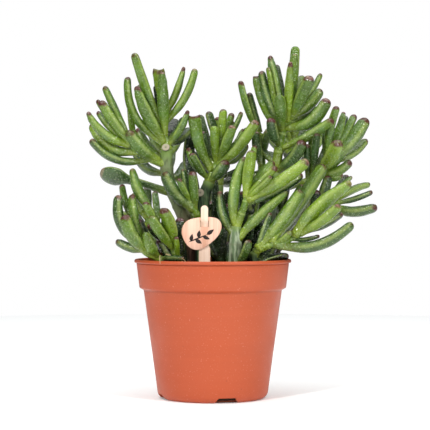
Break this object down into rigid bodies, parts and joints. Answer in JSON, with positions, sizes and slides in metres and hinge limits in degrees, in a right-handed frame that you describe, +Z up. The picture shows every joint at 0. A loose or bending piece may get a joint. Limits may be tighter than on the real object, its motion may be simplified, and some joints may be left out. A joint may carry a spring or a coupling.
{
  "type": "potted jade plant",
  "caption": "Finger jade plant with glossy finger-shaped leaves on woody stems, growing in soil in a round plastic nursery pot with a wooden plant label.",
  "frame": {"origin": "middle of the pot's underside, on the surface that the pot stands on", "axes": "+Z up along the pot's axis; -Y towards the side with the plant label; +X to the right as seen from the label's side"},
  "size_m": [0.2203, 0.1435, 0.2694],
  "materials": {
    "pot": "satin moulded plastic, terracotta colour",
    "soil": "dark, crumbly potting soil",
    "stem_bark": "rough bark, brown below and grey-green above",
    "leaf": "glossy, waxy succulent skin with maroon tips",
    "label_wood": "plain sanded wood"
  },
  "bodies": {
    "root": {"back_left_shoot": "leaf", "back_left_stem": "stem_bark", "back_low_left_shoot": "leaf", "back_low_mid_shoot": "leaf", "back_low_right_shoot": "leaf", "back_mid_shoot": "leaf", "back_mid_stem": "stem_bark", "back_right_shoot": "leaf", "back_right_stem": "stem_bark", "centre_leaf_1": "leaf", "centre_leaf_14": "leaf", "centre_shoot": "leaf", "centre_side_leaf_1": "leaf", "centre_side_shoot": "leaf", "centre_stem": "stem_bark", "far_right_shoot": "leaf", "far_right_stem": "stem_bark", "inner_right_shoot": "leaf", "inner_right_stem": "stem_bark", "label_disc": "label_wood", "label_stick": "label_wood", "left_leaf_15": "leaf", "left_leaf_8": "leaf", "left_outer_leaf_1": "leaf", "left_outer_shoot": "leaf", "left_shoot": "leaf", "left_stem": "stem_bark", "lower_left_leaf_1": "leaf", "lower_left_shoot": "leaf", "lower_left_side_shoot": "leaf", "lower_left_stem": "stem_bark", "lower_right_leaf_1": "leaf", "lower_right_leaf_2": "leaf", "lower_right_leaf_4": "leaf", "lower_right_leaf_5": "leaf", "lower_right_leaf_9": "leaf", "lower_right_shoot": "leaf", "lower_right_stem": "stem_bark", "mid_right_leaf_1": "leaf", "mid_right_leaf_10": "leaf", "mid_right_leaf_11": "leaf", "mid_right_leaf_4": "leaf", "mid_right_leaf_9": "leaf", "mid_right_shoot": "leaf", "mid_right_stem": "stem_bark", "pot": "pot", "right_leaf_17": "leaf", "right_leaf_2": "leaf", "right_leaf_5": "leaf", "right_shoot": "leaf", "right_stem": "stem_bark", "soil": "soil", "upper_right_leaf_6": "leaf", "upper_right_leaf_8": "leaf", "upper_right_shoot": "leaf", "upper_right_stem": "stem_bark"}
  },
  "joints": []
}
